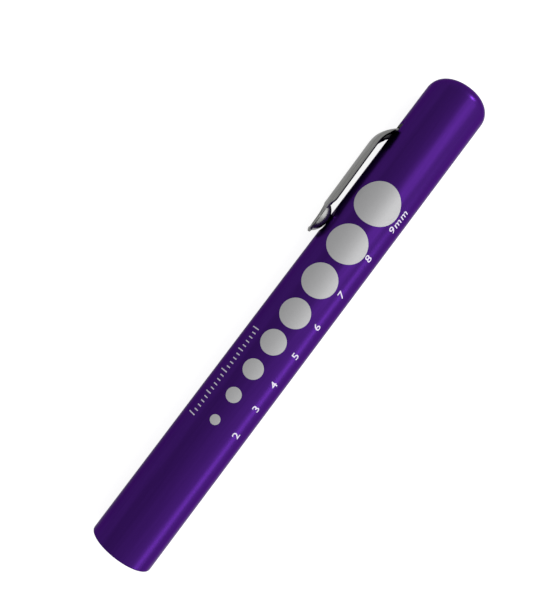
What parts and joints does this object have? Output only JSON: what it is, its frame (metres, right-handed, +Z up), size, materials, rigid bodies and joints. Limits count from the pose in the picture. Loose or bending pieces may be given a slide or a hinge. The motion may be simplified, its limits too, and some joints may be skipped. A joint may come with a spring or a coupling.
{
  "type": "penlight",
  "caption": "Slim aluminium penlight with a clip switch, a printed pupil gauge of round dots and a screw-in lamp head that lets the cells out.",
  "frame": {"origin": "centre of the mouth's rim, on the pen's axis, in the plane of the rim", "axes": "+X along the pen's axis, the way the lamp shines; +Z up as the pen lies on a table, on its barrel and the edge of its clip; the clip is on the -Y side, 24.9 degrees below level"},
  "size_m": [0.1126, 0.0161, 0.0134],
  "materials": {
    "purple_anodised": "glossy coloured anodising over drawn aluminium",
    "silver_ink": "matt silver-grey printed ink",
    "clip_steel": "nickel-plated spring steel, fine drawn grain",
    "natural_nylon": "natural nylon",
    "black_plastic": "moulded black plastic",
    "contact_brass": "bright stamped brass",
    "spring_wire": "nickel-plated spring wire",
    "cell_steel": "nickel-plated can",
    "cell_sleeve": "plain shrunk plastic sleeve",
    "cell_seal": "nylon cell seal",
    "seal_rubber": "black nitrile rubber",
    "bare_aluminium": "turned bare aluminium",
    "clear_lens": "clear moulded acrylic",
    "reflector_chrome": "metallised plastic reflector",
    "led_epoxy": "clear epoxy over yellow phosphor",
    "tinned_leg": "tinned steel",
    "board_green": "glass-epoxy circuit board with solder mask"
  },
  "bodies": {
    "barrel": {"barrel": "purple_anodised", "gauge_dots": "silver_ink", "clip_insulator": "black_plastic", "clip_root": "clip_steel", "tail_plug": "black_plastic", "tail_cup": "contact_brass", "tail_spring": "spring_wire"},
    "clip": {"clip_arm": "clip_steel"},
    "cells": {"rear_cell_can": "cell_steel", "rear_cell_sleeve": "cell_sleeve", "rear_cell_seal": "cell_seal", "rear_cell_base": "cell_steel", "front_cell_can": "cell_steel", "front_cell_sleeve": "cell_sleeve", "front_cell_seal": "cell_seal", "front_cell_base": "cell_steel"},
    "head_slide": {"head_seal": "seal_rubber"},
    "lamp_head": {"head_shell": "bare_aluminium", "bezel_ring": "bare_aluminium", "lens": "clear_lens", "lens_seal": "seal_rubber", "reflector": "reflector_chrome", "led": "led_epoxy", "led_legs": "tinned_leg", "led_board": "board_green", "contact_holder": "natural_nylon", "contact_button": "contact_brass"}
  },
  "joints": [
    {"name": "clip_press", "type": "hinge", "parent": "barrel", "child": "clip", "pos_m": [-0.09135, -0.00828, -0.00384], "axis": [0, 0.4212, -0.907], "range_deg": [-1.7, 6], "stiffness_Nm_per_rad": 1},
    {"name": "head_advance", "type": "slide", "parent": "barrel", "child": "head_slide", "axis": [1, 0, 0], "range_m": [0, 0.006]},
    {"name": "head_turn", "type": "hinge", "parent": "head_slide", "child": "lamp_head", "pos_m": [0, 0, 0], "axis": [1, 0, 0], "range_deg": [0, 2880]},
    {"name": "cells_advance", "type": "slide", "parent": "barrel", "child": "cells", "axis": [1, 0, 0], "range_m": [0, 0.006], "deforming": ["tail_spring"]}
  ],
  "couplings": [
    {"joint": "head_turn", "follows": "head_advance", "rad_per_m": 8377},
    {"joint": "cells_advance", "follows": "head_advance", "ratio": 1}
  ]
}
